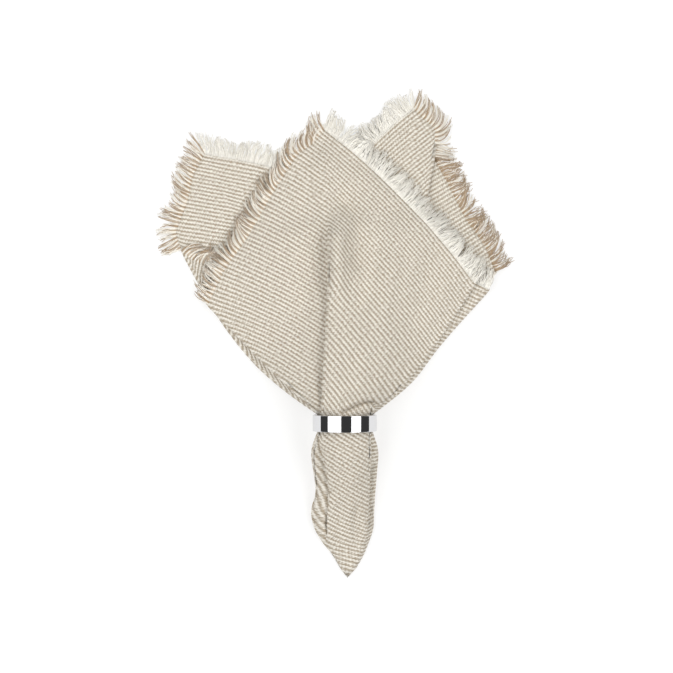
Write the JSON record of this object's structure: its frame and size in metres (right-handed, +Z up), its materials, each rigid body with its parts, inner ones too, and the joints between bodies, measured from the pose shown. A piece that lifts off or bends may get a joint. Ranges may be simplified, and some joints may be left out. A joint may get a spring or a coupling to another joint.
{
  "type": "cloth napkin in a ring",
  "caption": "Square striped woven napkin with frayed edges, pulled by its middle through a plain polished band ring and fanned out flat.",
  "frame": {"origin": "centre of the footprint, on the surface the napkin lies on", "axes": "+Y from the gathered tail to the open fan, +Z up from the surface, +X to the right as seen from above"},
  "size_m": [0.233, 0.317, 0.0424],
  "materials": {
    "cloth": "woven, cream and beige stripes",
    "plain_fringe": "loose cream yarn",
    "mixed_fringe": "loose cream and beige yarn",
    "metal": "polished"
  },
  "bodies": {
    "root": {"napkin": "cloth", "napkin_ring": "metal", "fringe_mixed_front_left": "mixed_fringe", "fringe_mixed_left_under": "mixed_fringe", "fringe_mixed_left_turn": "mixed_fringe", "fringe_mixed_left_flap": "mixed_fringe", "fringe_plain_left_flap": "plain_fringe", "fringe_plain_back_turn": "plain_fringe", "fringe_plain_right_flap": "plain_fringe", "fringe_mixed_right_flap": "mixed_fringe", "fringe_mixed_right_low": "mixed_fringe", "fringe_mixed_low_turn": "mixed_fringe", "fringe_mixed_low_back": "mixed_fringe", "fringe_mixed_hidden_flap": "mixed_fringe", "fringe_plain_hidden_flap": "plain_fringe", "fringe_plain_base": "plain_fringe", "fringe_plain_band": "plain_fringe", "fringe_plain_band_under": "plain_fringe", "fringe_plain_front_right": "plain_fringe"}
  },
  "joints": []
}
